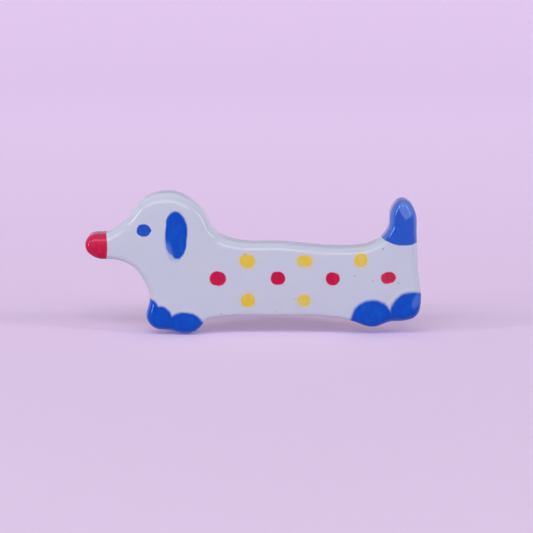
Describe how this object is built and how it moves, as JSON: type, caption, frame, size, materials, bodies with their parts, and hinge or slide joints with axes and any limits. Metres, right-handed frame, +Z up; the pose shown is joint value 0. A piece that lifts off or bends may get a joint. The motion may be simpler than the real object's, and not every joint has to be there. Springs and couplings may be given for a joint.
{
  "type": "ceramic dog brooch",
  "caption": "Flat glazed ceramic long-bodied dog with painted spots, glued to a bar pin whose stem swings open and is held by a turning safety lock.",
  "frame": {"origin": "middle of the pin bar's rear face, where the cloth lies against the brooch", "axes": "+X from the nose to the tail, +Y out of the back towards the wearer, +Z up the dog"},
  "size_m": [0.0601, 0.0126, 0.0256],
  "materials": {
    "glazed_body": "glossy white glaze with red, blue and yellow brushwork",
    "epoxy": "cured clear epoxy, faintly yellow",
    "bar_plate": "nickel-plated stamped steel",
    "rivet_steel": "plain steel with a domed head",
    "stem_steel": "polished hard-drawn steel wire",
    "lock_plate": "polished nickel plate"
  },
  "bodies": {
    "brooch": {"ceramic_body": "glazed_body", "adhesive_bed": "epoxy", "pin_bar": "bar_plate", "hinge_rivet": "rivet_steel"},
    "stem": {"pin_stem": "stem_steel"},
    "lock": {"safety_lock": "lock_plate"}
  },
  "joints": [
    {"name": "stem_hinge", "type": "hinge", "parent": "brooch", "child": "stem", "pos_m": [-0.0136, 0.0027, 0], "axis": [0, 0, 1], "range_deg": [0, 100]},
    {"name": "lock_turn", "type": "hinge", "parent": "brooch", "child": "lock", "pos_m": [0.012, 0.0027, 0], "axis": [1, 0, 0], "range_deg": [0, 94]}
  ]
}
